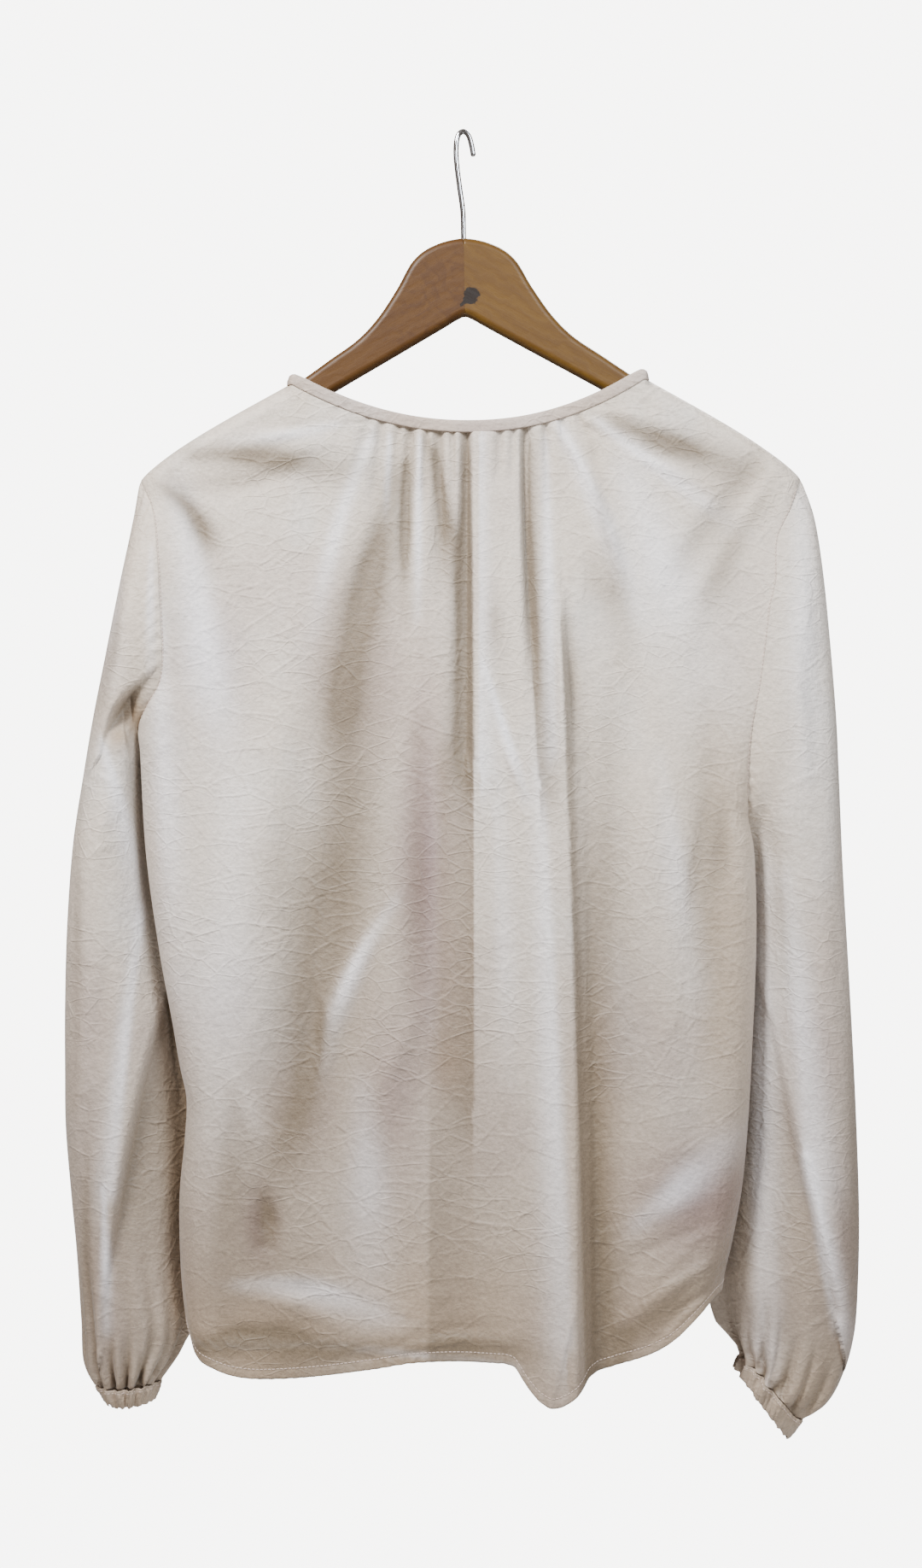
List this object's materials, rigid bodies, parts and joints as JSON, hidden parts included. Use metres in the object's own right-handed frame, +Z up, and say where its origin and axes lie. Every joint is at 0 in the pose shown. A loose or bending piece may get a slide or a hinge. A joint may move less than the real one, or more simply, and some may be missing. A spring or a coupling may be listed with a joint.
{
  "type": "blouse on a wooden hanger",
  "caption": "A pale long-sleeved blouse with a gathered back neckline, curved hem and full cuffed sleeves, hanging from a flat wooden hanger with a wire hook",
  "frame": {"origin": "the inside top of the hook, where a rail or a wall hook holds the hanger", "axes": "X runs along the hanger, with the blouse's left-hand side as seen from its back at -X; the back of the blouse faces -Y and its front +Y; Z is up"},
  "size_m": [0.5301, 0.1043, 0.8718],
  "materials": {
    "cloth": "thin plain weave with a faint sheen",
    "dark_wood": "satin varnish",
    "light_wood": "satin varnish",
    "chrome": "polished"
  },
  "bodies": {
    "root": {"back": "cloth", "front": "cloth", "sleeve_left": "cloth", "sleeve_right": "cloth", "cuff_left": "cloth", "cuff_right": "cloth", "neck_binding": "cloth", "front_band": "cloth", "hanger_left": "dark_wood", "hanger_right": "light_wood", "hook": "chrome"}
  },
  "joints": []
}
